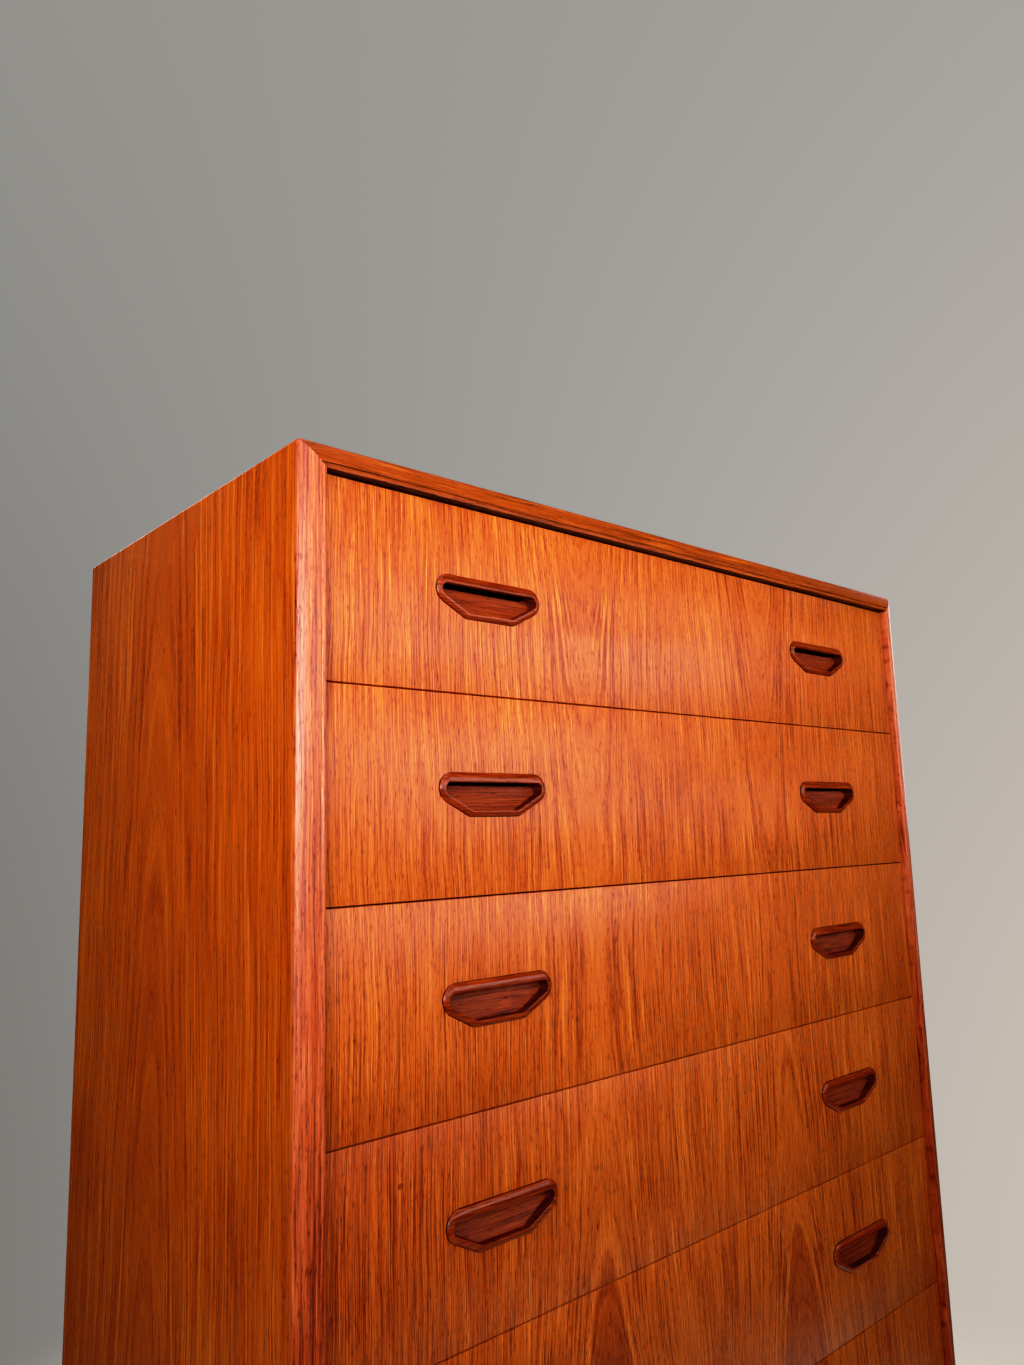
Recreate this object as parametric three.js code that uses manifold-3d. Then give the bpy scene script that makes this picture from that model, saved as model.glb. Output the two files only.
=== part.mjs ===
// A tall chest of six inset drawers in teak, on a base of turned legs.
// Millimetres. X runs to the right, Y to the back, Z up; the drawers face -Y.
import * as THREE from 'three';
import { mergeVertices } from 'three/addons/utils/BufferGeometryUtils.js';
import Module from 'manifold-3d';

const wasm = await Module();
wasm.setup();

// Whole chest
const WIDTH = 800;
const DEPTH = 408;
const HEIGHT = 1110;
const LEG_HEIGHT = 182;
const GAP = 0.3; // clearance between pieces that meet
const PAST = 1; // how far a cutting shape runs past the wood

// Case panels, front lippings and back panel
const PANEL = 19.5;
const RIDGE = 7.5; // the lippings stand this far in front of the drawer faces
const LIP_BACK = 2; // and reach this far behind them
const LIP_RADIUS = 26.1; // of the domed lipping face
const LIP_NOSE = 1.2; // rounding of the lipping at the opening
const LIP_STEPS = 7; // facets of the dome
const REBATE_DEEP = 9;
const REBATE_WIDE = 8;
const BACK_PLY = 6;

// Drawers
const DRAWERS = 6;
const PITCH = 148.4;
const FIRST_SEAM = 17; // below the top of the case
const SEAM = 1.2; // air between two drawer fronts
const FRONT_THICK = 20;
const FRONT_MARGIN = 1; // air between a front and the case
const TOP_FRONT_TOP = 70.7; // upper edge of the first front over its middle
const LOW_FRONT_BOTTOM = -74.2; // lower edge of the last front under its middle
const LAP = 6; // front wood left over the dovetails
const SIDE_OUTER = 379;
const SIDE_THICK = 12;
const SIDE_LOW = -66;
const SIDE_HIGH = 58;
const SIDE_END = 175;
const BACK_THICK = 10;
const BACK_HIGH = 54;
const PLY = 5;
const PLY_LOW = -56;
const PLY_GROOVE = 5;
const FRONT_GROOVE = 6;

// Wooden runners on the case sides and their grooves in the drawer sides
const RUNNER_Z = -4;
const RUNNER_HIGH = 14;
const RUNNER_OUT = 7.5;
const RUNNER_FRONT = -160;
const RUNNER_END = 190;
const GROOVE_DEEP = 6.8;
const GROOVE_FRONT = -166;

// Dovetails
const TAIL_ROOT = 11;
const TAIL_FLARE = 2.3;
const FRONT_TAILS = [-45.3, -4, 37.3];
const BACK_TAILS = [-26, 28];

// Inlaid pulls
const PULL_X = 232.5;
const PULL_Z = -0.5;
const PULL_DEEP = 15;
const PULL_EDGE = 1; // outline stands proud by this much
const PULL_RISE = 2; // and the rim rises this much more
const PULL_BEVEL = 5;
const PULL_SLOPE = (27 * Math.PI) / 180;
const PULL_OUTER = { top: 16.1, bottom: 16.1, reach: 25.25, end: 11.15, foot: 5 };
const PULL_INNER = { top: 9, bottom: 11.7, reach: 20.2, end: 4.8, foot: 2 };
const FLOOR_LOW = 4.3; // depth of the sloping recess floor at its lower edge
const FLOOR_HIGH = 8.7; // and at its upper edge
const FLOOR_TOP = 7.2;
const PULL_SPAN = 60; // wider and higher than any half of a pull
const GRIP_HALF = 41;
const GRIP_TOP = 13.2;
const GRIP_FRONT = 1.5;
const GRIP_DEEP = 12;

// Base
const LEG_X = 345;
const LEG_Y = 150;
const LEG_TOP = 19;
const LEG_FOOT = 12.5;
const LEG_SIDES = 16;
const LEG_FACE = 1.5; // rounding of the foot
const LEG_STRAIGHT = 58; // untapered top of a leg, behind the rails
const RAIL_HIGH = 50;
const RAIL_THICK = 20;
const TENON_THICK = 8;
const TENON_HIGH = 32;
const TENON_REACH = 5; // end of a tenon from the leg's axis
const TENON_ROOT = 4; // a tenon starts this far inside its rail

// Heights and planes that follow from the numbers above
const FACE = RIDGE - DEPTH / 2;
const REAR = DEPTH / 2;
const LIP_END = FACE + LIP_BACK;
const HALF = WIDTH / 2;
const OPENING = HALF - PANEL;
const FRONT_HALF = OPENING - FRONT_MARGIN;
const FRONT_REAR = FACE + FRONT_THICK;
const TAIL_END = FACE + LAP + GAP;
const SIDE_INNER = SIDE_OUTER - SIDE_THICK;
const PLY_HIGH = PLY_LOW + PLY;
const MITRE = GAP * Math.SQRT1_2;
const CORNER_CUT = 1 - Math.SQRT1_2; // what rounding takes off a square corner, over its radius

// Colours, each as colour and roughness
const TEAK_FRONT = [0xb85f28, 0.42];
const TEAK_SIDE = [0xa5521f, 0.45];
const TEAK_SOLID = [0x9a4a26, 0.4];
const TEAK_PULL = [0x5e1c10, 0.35];
const BEECH = [0xcfa877, 0.55];
const PLYWOOD = [0xc4a071, 0.65];

function solid(geometry) {
  const bare = geometry.clone();
  bare.deleteAttribute('normal');
  bare.deleteAttribute('uv');
  const welded = mergeVertices(bare, 1e-4);
  const mesh = new wasm.Mesh({
    numProp: 3,
    vertProperties: new Float32Array(welded.attributes.position.array),
    triVerts: new Uint32Array(welded.index.array),
  });
  return new wasm.Manifold(mesh);
}

function geometryOf(body) {
  const mesh = body.getMesh();
  const geometry = new THREE.BufferGeometry();
  const position = new THREE.BufferAttribute(new Float32Array(mesh.vertProperties), 3);
  geometry.setAttribute('position', position);
  geometry.setIndex(Array.from(mesh.triVerts));
  const flat = geometry.toNonIndexed();
  flat.computeVertexNormals();
  return flat;
}

function block(x0, x1, y0, y1, z0, z1) {
  const box = new THREE.BoxGeometry(Math.abs(x1 - x0), Math.abs(y1 - y0), Math.abs(z1 - z0));
  box.translate((x0 + x1) / 2, (y0 + y1) / 2, (z0 + z1) / 2);
  return solid(box);
}

// A straight prism along one axis; its points are pairs on the two other axes, in XYZ order.
function prism(axis, points, from, to) {
  const pairs = axis === 'y' ? points.map(([x, z]) => [z, x]) : points;
  const shape = new THREE.Shape(pairs.map(([a, b]) => new THREE.Vector2(a, b)));
  const depth = to - from;
  const geometry = new THREE.ExtrudeGeometry(shape, { depth, bevelEnabled: false });
  const [x, y, z] = [
    new THREE.Vector3(1, 0, 0),
    new THREE.Vector3(0, 1, 0),
    new THREE.Vector3(0, 0, 1),
  ];
  const bases = { x: [y, z, x], y: [z, x, y], z: [x, y, z] };
  geometry.translate(0, 0, from);
  geometry.applyMatrix4(new THREE.Matrix4().makeBasis(...bases[axis]));
  return solid(geometry);
}

function piece(name, body, [color, roughness]) {
  const material = new THREE.MeshStandardMaterial({ color, roughness, metalness: 0 });
  const mesh = new THREE.Mesh(geometryOf(body), material);
  mesh.name = name;
  return mesh;
}

// The four sides of the case share one mitred outline, drawn in the XZ plane.
function uprightOutline(sign) {
  return [
    [sign * HALF, LEG_HEIGHT + MITRE],
    [sign * OPENING, LEG_HEIGHT + PANEL + MITRE],
    [sign * OPENING, HEIGHT - PANEL - MITRE],
    [sign * HALF, HEIGHT - MITRE],
  ];
}

function levelOutline(outer, inner) {
  return [
    [MITRE - HALF, outer],
    [MITRE - OPENING, inner],
    [OPENING - MITRE, inner],
    [HALF - MITRE, outer],
  ];
}

function backRebate() {
  const reach = OPENING + REBATE_WIDE;
  const low = LEG_HEIGHT + PANEL - REBATE_WIDE;
  const high = HEIGHT - PANEL + REBATE_WIDE;
  return block(-reach, reach, REAR - REBATE_DEEP, REAR + PAST, low, high);
}

function casePanel(outline) {
  return prism('y', outline, LIP_END + GAP, REAR).subtract(backRebate());
}

function drawerMiddle(index) {
  return HEIGHT - FIRST_SEAM - (index + 0.5) * PITCH;
}

function runner(sign, index) {
  const middle = drawerMiddle(index) + RUNNER_Z;
  const inner = sign * (OPENING - RUNNER_OUT);
  const low = middle - RUNNER_HIGH / 2;
  const outer = sign * (OPENING + PAST);
  return block(inner, outer, RUNNER_FRONT, RUNNER_END, low, low + RUNNER_HIGH);
}

function caseSide(sign) {
  let body = casePanel(uprightOutline(sign));
  for (let index = 0; index < DRAWERS; index += 1) {
    body = body.add(runner(sign, index));
  }
  return body;
}

function backPanel() {
  const reach = OPENING + REBATE_WIDE - GAP;
  const low = LEG_HEIGHT + PANEL - REBATE_WIDE + GAP;
  const high = HEIGHT - PANEL + REBATE_WIDE - GAP;
  const front = REAR - REBATE_DEEP + GAP;
  return block(-reach, reach, front, front + BACK_PLY, low, high);
}

// Lipping profile: pairs of distance in from the outer face and distance forward of the faces.
function lippingProfile() {
  const crest = PANEL - LIP_NOSE;
  const points = [[0, -LIP_BACK], [PANEL, -LIP_BACK], [PANEL, RIDGE - LIP_NOSE]];
  points.push([PANEL - LIP_NOSE * CORNER_CUT, RIDGE - LIP_NOSE * CORNER_CUT]);
  for (let step = 0; step <= LIP_STEPS; step += 1) {
    const inward = crest * (1 - step / LIP_STEPS);
    const across = crest - inward;
    const drop = LIP_RADIUS - Math.sqrt(LIP_RADIUS ** 2 - across ** 2);
    points.push([inward, Math.max(RIDGE - drop, 0)]);
  }
  return points;
}

function uprightLipping(sign) {
  const profile = lippingProfile().map(([inward, out]) => [sign * (HALF - inward), FACE - out]);
  const bar = prism('z', profile, LEG_HEIGHT, HEIGHT);
  return bar.intersect(prism('y', uprightOutline(sign), -REAR - PAST, LIP_END + PAST));
}

function levelLipping(outer, inner) {
  const toward = Math.sign(inner - outer);
  const profile = lippingProfile().map(([inward, out]) => [FACE - out, outer + toward * inward]);
  const bar = prism('x', profile, -HALF, HALF);
  return bar.intersect(prism('y', levelOutline(outer, inner), -REAR - PAST, LIP_END + PAST));
}

function buildCase() {
  const group = new THREE.Group();
  group.name = 'case';
  const topInner = HEIGHT - PANEL;
  const lowInner = LEG_HEIGHT + PANEL;
  const top = levelOutline(HEIGHT, topInner);
  const bottom = levelOutline(LEG_HEIGHT, lowInner);
  group.add(piece('case_side_left', caseSide(-1), TEAK_SIDE));
  group.add(piece('case_side_right', caseSide(1), TEAK_SIDE));
  group.add(piece('case_top', casePanel(top), TEAK_SIDE));
  group.add(piece('case_bottom', casePanel(bottom), TEAK_SIDE));
  group.add(piece('back_panel', backPanel(), PLYWOOD));
  group.add(piece('lipping_left', uprightLipping(-1), TEAK_SOLID));
  group.add(piece('lipping_right', uprightLipping(1), TEAK_SOLID));
  group.add(piece('lipping_top', levelLipping(HEIGHT, topInner), TEAK_SOLID));
  group.add(piece('lipping_bottom', levelLipping(LEG_HEIGHT, lowInner), TEAK_SOLID));
  return group;
}

// Outline of a pull: flat top, rounded upper ends, sloping flanks and a flat foot.
function pullOutline({ top, bottom, reach, end, foot }, grow = 0) {
  const [sine, cosine] = [Math.sin(PULL_SLOPE), Math.cos(PULL_SLOPE)];
  const corner = (height, radius, from, to, steps) => {
    const across = (reach - radius + cosine * height) / sine;
    const points = [];
    for (let step = 0; step <= steps; step += 1) {
      const angle = from + ((to - from) * step) / steps;
      const size = radius + grow;
      points.push([across + size * Math.cos(angle), height + size * Math.sin(angle)]);
    }
    return points;
  };
  const turn = PULL_SLOPE - Math.PI / 2;
  const right = [
    ...corner(foot - bottom, foot, -Math.PI / 2, turn, 2),
    ...corner(top - end, end, turn, Math.PI / 2, 5),
  ];
  const left = right.map(([x, z]) => [-x, z]).reverse();
  return [...right, ...left];
}

function pullBody() {
  const shape = new THREE.Shape(pullOutline(PULL_OUTER).map(([x, z]) => new THREE.Vector2(x, z)));
  const geometry = new THREE.ExtrudeGeometry(shape, {
    depth: PULL_EDGE + PULL_DEEP + PULL_RISE + PAST,
    bevelEnabled: true,
    bevelThickness: PULL_RISE,
    bevelSize: PULL_BEVEL,
    bevelOffset: -PULL_BEVEL,
    bevelSegments: 2,
  });
  geometry.rotateX(Math.PI / 2);
  const end = PULL_DEEP + PULL_RISE + PAST;
  geometry.translate(0, end, 0);
  const rear = [PULL_DEEP, end + PULL_RISE + PAST];
  const waste = block(-PULL_SPAN, PULL_SPAN, ...rear, -PULL_SPAN, PULL_SPAN);
  return solid(geometry).subtract(waste);
}

function pullRecess() {
  const slope = (FLOOR_HIGH - FLOOR_LOW) / (FLOOR_TOP + PULL_INNER.bottom);
  const depthAt = (z) => FLOOR_LOW + (z + PULL_INNER.bottom) * slope;
  const [low, high] = [-PULL_INNER.bottom - PAST, PULL_INNER.top + PAST];
  const out = -PULL_EDGE - PULL_RISE - PAST;
  const wedge = [[out - PAST, low], [out - PAST, high], [depthAt(high), high], [depthAt(low), low]];
  const mouth = prism('y', pullOutline(PULL_INNER), out, GRIP_DEEP);
  const scoop = mouth.intersect(prism('x', wedge, -PULL_SPAN, PULL_SPAN));
  const grip = block(-GRIP_HALF, GRIP_HALF, GRIP_FRONT, GRIP_DEEP, FLOOR_TOP, GRIP_TOP);
  return scoop.add(grip);
}

function pull(name, x) {
  const mesh = piece(name, pullBody().subtract(pullRecess()), TEAK_PULL);
  mesh.position.set(x, FACE, PULL_Z);
  return mesh;
}

// One dovetail seen from the side: narrow at its root, wide at its end.
function tail(middle, root, end, flare, grow) {
  const back = root - Math.sign(end - root) * PAST;
  const tip = end + Math.sign(end - root) * grow;
  const narrow = TAIL_ROOT + grow;
  const wide = narrow + flare;
  return [
    [back, middle - narrow],
    [root, middle - narrow],
    [tip, middle - wide],
    [tip, middle + wide],
    [root, middle + narrow],
    [back, middle + narrow],
  ];
}

function frontTail(middle, grow) {
  return tail(middle, FRONT_REAR + GAP, TAIL_END, TAIL_FLARE, grow);
}

function backTail(middle, grow) {
  return tail(middle, SIDE_END - BACK_THICK - GAP, SIDE_END, TAIL_FLARE, grow);
}

function across(sign, points, near, far) {
  return prism('x', points, Math.min(sign * near, sign * far), Math.max(sign * near, sign * far));
}

function runnerGroove(sign) {
  const floor = sign * (SIDE_OUTER - GROOVE_DEEP);
  const half = RUNNER_HIGH / 2 + GAP;
  const [low, high] = [RUNNER_Z - half, RUNNER_Z + half];
  return block(floor, sign * (SIDE_OUTER + PAST), GROOVE_FRONT, SIDE_END + PAST, low, high);
}

function drawerFront(low, high) {
  let body = block(-FRONT_HALF, FRONT_HALF, FACE, FRONT_REAR, low, high);
  for (const sign of [-1, 1]) {
    for (const middle of FRONT_TAILS) {
      const points = frontTail(middle, GAP);
      body = body.subtract(across(sign, points, SIDE_INNER - GAP, FRONT_HALF + PAST));
    }
    const outline = pullOutline(PULL_OUTER, GAP);
    const placed = outline.map(([x, z]) => [x + sign * PULL_X, z + PULL_Z]);
    body = body.subtract(prism('y', placed, FACE - PAST, FACE + PULL_DEEP + GAP));
  }
  const reach = SIDE_INNER + PLY_GROOVE;
  const groove = [FRONT_REAR - FRONT_GROOVE, FRONT_REAR + PAST, PLY_LOW - GAP, PLY_HIGH + GAP];
  return body.subtract(block(-reach, reach, ...groove));
}

function drawerSide(sign) {
  const inner = sign * SIDE_INNER;
  const outer = sign * SIDE_OUTER;
  let body = block(inner, outer, FRONT_REAR + GAP, SIDE_END, SIDE_LOW, SIDE_HIGH);
  const behind = [SIDE_END - BACK_THICK - GAP, SIDE_END + PAST];
  const notch = [inner - sign * PAST, outer + sign * PAST, ...behind, PLY_HIGH + GAP, SIDE_HIGH + PAST];
  body = body.subtract(block(...notch));
  for (const middle of FRONT_TAILS) {
    body = body.add(across(sign, frontTail(middle, 0), SIDE_INNER, SIDE_OUTER));
  }
  for (const middle of BACK_TAILS) {
    body = body.add(across(sign, backTail(middle, 0), SIDE_INNER, SIDE_OUTER));
  }
  const reach = sign * (SIDE_INNER + PLY_GROOVE);
  const slot = [TAIL_END - PAST, SIDE_END + PAST, PLY_LOW - GAP, PLY_HIGH + GAP];
  body = body.subtract(block(inner - sign * PAST, reach, ...slot));
  return body.subtract(runnerGroove(sign));
}

function drawerBack() {
  const front = SIDE_END - BACK_THICK;
  let body = block(-SIDE_OUTER, SIDE_OUTER, front, SIDE_END, PLY_HIGH + 2 * GAP, BACK_HIGH);
  for (const sign of [-1, 1]) {
    for (const middle of BACK_TAILS) {
      const points = backTail(middle, GAP);
      body = body.subtract(across(sign, points, SIDE_INNER - GAP, SIDE_OUTER + PAST));
    }
    body = body.subtract(runnerGroove(sign));
  }
  return body;
}

function drawerBottom() {
  const reach = SIDE_INNER + PLY_GROOVE - GAP;
  const front = FRONT_REAR - FRONT_GROOVE + GAP;
  return block(-reach, reach, front, SIDE_END, PLY_LOW, PLY_HIGH);
}

function buildDrawer(index) {
  const group = new THREE.Group();
  const name = `drawer_${index + 1}`;
  const edge = (PITCH - SEAM) / 2;
  const high = index === 0 ? TOP_FRONT_TOP : edge;
  const low = index === DRAWERS - 1 ? LOW_FRONT_BOTTOM : -edge;
  group.name = name;
  group.add(piece(`${name}_front`, drawerFront(low, high), TEAK_FRONT));
  group.add(piece(`${name}_side_left`, drawerSide(-1), BEECH));
  group.add(piece(`${name}_side_right`, drawerSide(1), BEECH));
  group.add(piece(`${name}_back`, drawerBack(), BEECH));
  group.add(piece(`${name}_bottom`, drawerBottom(), PLYWOOD));
  group.add(pull(`${name}_pull_left`, -PULL_X));
  group.add(pull(`${name}_pull_right`, PULL_X));
  group.position.set(0, 0, drawerMiddle(index));
  return group;
}

// A turned leg on the Z axis, its foot at zero.
function turnedLeg(grow) {
  const top = LEG_HEIGHT - GAP + grow;
  const profile = [
    [0, -grow],
    [LEG_FOOT - LEG_FACE + grow, -grow],
    [LEG_FOOT + grow, LEG_FACE],
    [LEG_TOP + grow, LEG_HEIGHT - LEG_STRAIGHT],
    [LEG_TOP + grow, top],
    [0, top],
  ];
  const points = profile.map(([radius, height]) => new THREE.Vector2(radius, height));
  const lathe = new THREE.LatheGeometry(points, LEG_SIDES);
  lathe.rotateX(Math.PI / 2);
  return solid(lathe);
}

function tenon(from, grow) {
  const half = TENON_THICK / 2 + grow;
  const middle = LEG_HEIGHT - GAP - RAIL_HIGH / 2;
  const [low, high] = [middle - TENON_HIGH / 2 - grow, middle + TENON_HIGH / 2 + grow];
  return block(from - grow, LEG_TOP + TENON_ROOT, -half, half, low, high);
}

// The two mortises open toward +X and +Y; each leg is turned to face its neighbours.
function leg(name, signX, signY) {
  const alongX = tenon(TENON_REACH, GAP);
  const alongY = alongX.rotate([0, 0, 90]);
  const body = turnedLeg(0).subtract(alongX).subtract(alongY);
  const mesh = piece(name, body, TEAK_SOLID);
  const turns = { '-1,-1': 0, '1,-1': 1, '1,1': 2, '-1,1': 3 };
  mesh.rotation.z = (turns[`${signX},${signY}`] * Math.PI) / 2;
  mesh.position.set(signX * LEG_X, signY * LEG_Y, 0);
  return mesh;
}

// A rail on the X axis between two legs that stand at plus and minus the span.
function rail(name, span, angle, x, y) {
  const top = LEG_HEIGHT - GAP;
  const half = RAIL_THICK / 2;
  const bar = block(-span, span, -half, half, top - RAIL_HIGH, top);
  const near = turnedLeg(GAP);
  const coped = bar.subtract(near.translate([span, 0, 0])).subtract(near.translate([-span, 0, 0]));
  const peg = tenon(TENON_REACH, 0);
  const left = peg.translate([-span, 0, 0]);
  const right = peg.rotate([0, 0, 180]).translate([span, 0, 0]);
  const mesh = piece(name, coped.add(left).add(right), TEAK_SOLID);
  mesh.rotation.z = angle;
  mesh.position.set(x, y, 0);
  return mesh;
}

function buildBase() {
  const group = new THREE.Group();
  group.name = 'base';
  group.add(leg('leg_front_left', -1, -1));
  group.add(leg('leg_front_right', 1, -1));
  group.add(leg('leg_back_left', -1, 1));
  group.add(leg('leg_back_right', 1, 1));
  group.add(rail('rail_front', LEG_X, 0, 0, -LEG_Y));
  group.add(rail('rail_back', LEG_X, 0, 0, LEG_Y));
  group.add(rail('rail_left', LEG_Y, Math.PI / 2, -LEG_X, 0));
  group.add(rail('rail_right', LEG_Y, Math.PI / 2, LEG_X, 0));
  return group;
}

function buildChest() {
  const chest = new THREE.Group();
  chest.name = 'tall_chest_of_drawers';
  chest.add(buildCase());
  for (let index = 0; index < DRAWERS; index += 1) {
    chest.add(buildDrawer(index));
  }
  chest.add(buildBase());
  return chest;
}

export default buildChest();
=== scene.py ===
import math

import bmesh
import bpy
from mathutils import Matrix, Vector


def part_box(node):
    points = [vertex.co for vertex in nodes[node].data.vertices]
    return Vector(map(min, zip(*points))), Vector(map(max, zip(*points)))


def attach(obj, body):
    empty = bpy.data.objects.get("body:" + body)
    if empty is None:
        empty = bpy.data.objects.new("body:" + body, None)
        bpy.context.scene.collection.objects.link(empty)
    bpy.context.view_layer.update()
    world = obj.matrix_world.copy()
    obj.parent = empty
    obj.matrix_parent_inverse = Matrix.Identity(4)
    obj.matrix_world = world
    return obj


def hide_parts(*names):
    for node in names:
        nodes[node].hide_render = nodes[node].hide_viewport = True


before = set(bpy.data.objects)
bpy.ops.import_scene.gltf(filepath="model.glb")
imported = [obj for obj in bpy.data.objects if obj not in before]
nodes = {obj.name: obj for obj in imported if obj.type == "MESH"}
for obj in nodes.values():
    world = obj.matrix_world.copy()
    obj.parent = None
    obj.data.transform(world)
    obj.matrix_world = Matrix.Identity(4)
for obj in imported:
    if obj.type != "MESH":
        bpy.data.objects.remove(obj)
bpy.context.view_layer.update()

MM = 0.001  # lengths below are millimetres in the row frame


# ---------------------------------------------------------------- measures from the frame

def span(node):
    low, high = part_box(node)
    return [(low[axis] / MM, high[axis] / MM) for axis in range(3)]


LIP_X, LIP_Y = span("lipping_left")[:2]
HALF = -LIP_X[0]
OPENING = -LIP_X[1]
CASE_LOW = span("lipping_bottom")[2][0]
CASE_HIGH = span("lipping_top")[2][1]
THICK = HALF - OPENING
REAR = span("case_top")[1][1]
FACE = span("drawer_1_front")[1][0]
RIDGE = FACE - LIP_Y[0]
LIP_END = LIP_Y[1]
DRAWERS = 6

# Details finer than the CAD
CORNER = 2.2          # outer rounding of the case
MITRE_GAP = 0.06
LIP_RADIUS = 26.1
BEAD = 4.0            # width of the bead along the opening
REBATE_DEEP = 9
REBATE_WIDE = 8
PULL_DEEP = 15
PULL_SLOPE = math.radians(27)
PULL_OUTER = {"top": 16.1, "bottom": 16.1, "reach": 25.25, "end": 11.15, "foot": 5}
PULL_INNER = {"top": 9, "bottom": 11.7, "reach": 20.2, "end": 4.8, "foot": 2}
FLOOR_LOW = 4.3
FLOOR_HIGH = 8.7
FLOOR_TOP = 7.2
GRIP_HALF = 41
GRIP_TOP = 13.2
GRIP_FRONT = 1.6
GRIP_DEEP = 12
RUNNER_Z = 62         # middle of a runner over the lower edge of a drawer side
RUNNER_HIGH = 14
RUNNER_OUT = 7.5
RUNNER_Y = (-160, 190)


# ---------------------------------------------------------------- node materials

class NodeTree:
    """A node tree under construction; add() makes a node, put() feeds a socket."""

    def __init__(self, tree):
        self.tree = tree

    def add(self, kind, values=None, **settings):
        node = self.tree.nodes.new(kind)
        for key, value in settings.items():
            setattr(node, key, value)
        for key, value in (values or {}).items():
            self.put(node.inputs[key], value)
        return node

    def put(self, socket, value):
        if isinstance(value, bpy.types.NodeSocket):
            self.tree.links.new(value, socket)
        else:
            socket.default_value = value

    def math(self, operation, *values):
        inputs = dict(enumerate(values))
        return self.add("ShaderNodeMath", inputs, operation=operation).outputs[0]

    def scale(self, value, factor, shift=0.0):
        return self.math("MULTIPLY_ADD", value, factor, shift)

    def total(self, *values):
        result = values[0]
        for value in values[1:]:
            result = self.math("ADD", result, value)
        return result

    def step(self, value, low, high, out_low=0.0, out_high=1.0):
        inputs = {0: value, 1: low, 2: high, 3: out_low, 4: out_high}
        node = self.add("ShaderNodeMapRange", inputs, interpolation_type="SMOOTHSTEP")
        return node.outputs[0]

    def length(self, a, b):
        squares = self.total(self.math("MULTIPLY", a, a), self.math("MULTIPLY", b, b))
        return self.math("SQRT", squares)

    def noise(self, a, b, c, detail=2.0, roughness=0.5):
        """Smooth noise about zero; a, b and c are coordinates already over their length scales."""
        place = self.add("ShaderNodeCombineXYZ", {0: a, 1: b, 2: c})
        inputs = {"Vector": place.outputs[0], "Scale": 1.0}
        inputs.update({"Detail": detail, "Roughness": roughness})
        return self.scale(self.add("ShaderNodeTexNoise", inputs).outputs[0], 2.0, -1.0)

    def ramp(self, value, stops):
        node = self.add("ShaderNodeValToRGB", {0: value})
        band = node.color_ramp
        while len(band.elements) < len(stops):
            band.elements.new(0.5)
        for element, (place, colour) in zip(band.elements, stops):
            element.position = place
            element.color = (*colour, 1.0)
        return node.outputs[0]


class Finish(NodeTree):
    """A material; x, y and z are object coordinates in millimetres, facing is the normal."""

    def __init__(self, name):
        self.material = bpy.data.materials.new(name)
        self.material.use_nodes = True
        super().__init__(self.material.node_tree)
        self.shader = self.tree.nodes["Principled BSDF"]
        place = self.add("ShaderNodeTexCoord")
        scaled = self.add(
            "ShaderNodeVectorMath", {0: place.outputs["Object"], 3: 1 / MM}, operation="SCALE"
        )
        parts = self.add("ShaderNodeSeparateXYZ", {0: scaled.outputs[0]})
        self.x, self.y, self.z = parts.outputs
        facing = self.add("ShaderNodeSeparateXYZ", {0: place.outputs["Normal"]})
        self.facing = facing.outputs

    def bump(self, height, distance):
        node = self.add("ShaderNodeBump", {"Height": height, "Distance": distance * MM})
        node.inputs["Strength"].default_value = 1.0
        self.put(self.shader.inputs["Normal"], node.outputs[0])

    def done(self, colour, roughness, specular=0.5):
        self.put(self.shader.inputs["Base Color"], colour)
        self.put(self.shader.inputs["Roughness"], roughness)
        self.shader.inputs["Specular IOR Level"].default_value = specular
        return self.material


# Crown-cut veneer of the drawer fronts, in millimetres
LEAF_CENTRE = -130.0         # middle of the crown on the left leaf
LEAF_SPACING = 255.0         # from it to the middle on the right leaf
CROWN_HEIGHT = 740.0         # where the cut runs deepest into the log
CROWN_DEPTH = 92.0           # distance from the heart there
CROWN_BEND = -8.5e-5         # how fast the cut leaves the heart, over height squared
TIP_RING = 88.3              # ring that bounds the dark tongue on the left leaf
TIP_SHIFT = -1.9             # the same on the right leaf, against the left
TIP_HEIGHTS = (690.0, 640.0)
# A darker patch low on the left of the fronts, partly the wood's own tone and partly painted shade
STAIN_AND_SHADE_HEIGHTS = (705.0, 640.0)
STAIN_AND_SHADE_REACH = (-150.0, -320.0)
BRUISE_X = -321.0            # a small dark bruise on the fourth front
BRUISE_Z = 615.0
BRUISE_SQUEEZE = 0.8         # it is wider than it is high
BRUISE_SQUARES = (6.0, 1.5)  # squared distances at its edge and at its dark middle

# Crown-cut veneer of the case sides, in millimetres
ARCH_MIDDLE = 27.0
ARCH_SLOPE = 0.047           # how fast the cut leaves the heart, over height
ARCH_DEPTH = 38.0


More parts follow.
